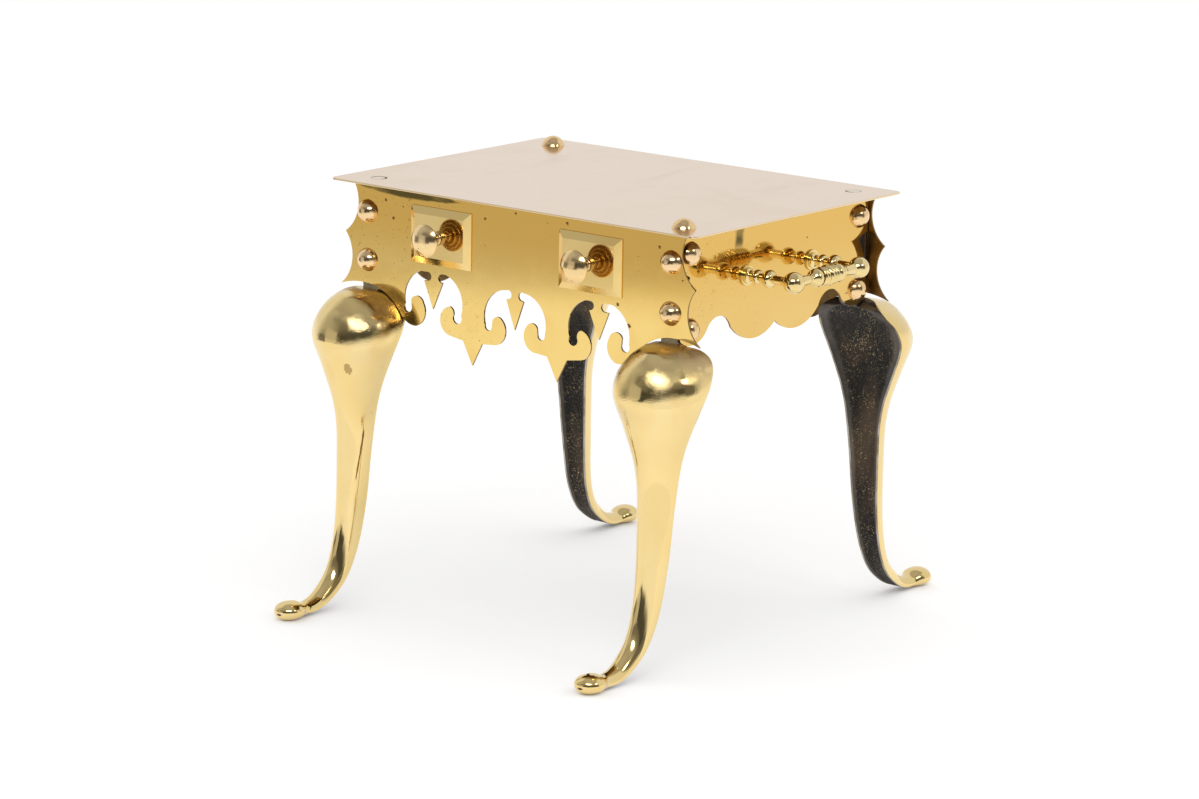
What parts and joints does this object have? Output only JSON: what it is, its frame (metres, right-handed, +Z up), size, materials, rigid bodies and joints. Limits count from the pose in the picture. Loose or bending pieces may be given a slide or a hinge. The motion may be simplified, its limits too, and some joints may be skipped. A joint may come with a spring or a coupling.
{
  "type": "brass footman",
  "caption": "Low brass fireside stand with a plain sheet top, pierced aprons, dummy drawer fronts, fixed side handles and cast cabriole legs.",
  "frame": {"origin": "on the floor under the middle of the top plate, at the bottom centre of the bounding box", "axes": "+Z up, +X along the front towards the right-hand side apron, the front apron with the drawer fronts faces -Y"},
  "size_m": [0.4154, 0.4348, 0.3384],
  "materials": {
    "top_sheet": "pale satin rolled sheet with faint stains",
    "apron_sheet": "polished outside, brown and unpolished inside",
    "leg_casting": "mirror-polished casting with a dark sunk back",
    "drawer_plate": "polished bevelled plate",
    "dome": "polished domed rivet, slightly rosy",
    "stub": "dull flush rivet end",
    "turning": "polished lathe-turned brass",
    "nut": "dull unpolished square nut"
  },
  "bodies": {
    "root": {"top_plate": "top_sheet", "top_dome_rivets": "dome", "top_rivet_stubs": "stub", "front_apron": "apron_sheet", "back_apron": "apron_sheet", "right_side_apron": "apron_sheet", "left_side_apron": "apron_sheet", "front_right_leg": "leg_casting", "back_right_leg": "leg_casting", "front_left_leg": "leg_casting", "back_left_leg": "leg_casting", "front_apron_rivets": "dome", "back_apron_rivets": "dome", "left_apron_rivets": "dome", "right_apron_rivets": "dome", "left_drawer_front": "drawer_plate", "right_drawer_front": "drawer_plate", "left_knob": "turning", "right_knob": "turning", "knob_nuts": "nut", "right_handle_front_arm": "turning", "right_handle_back_arm": "turning", "right_handle_grip_bar": "turning", "right_handle_nuts": "nut", "left_handle_front_arm": "turning", "left_handle_back_arm": "turning", "left_handle_grip_bar": "turning", "left_handle_nuts": "nut"}
  },
  "joints": []
}
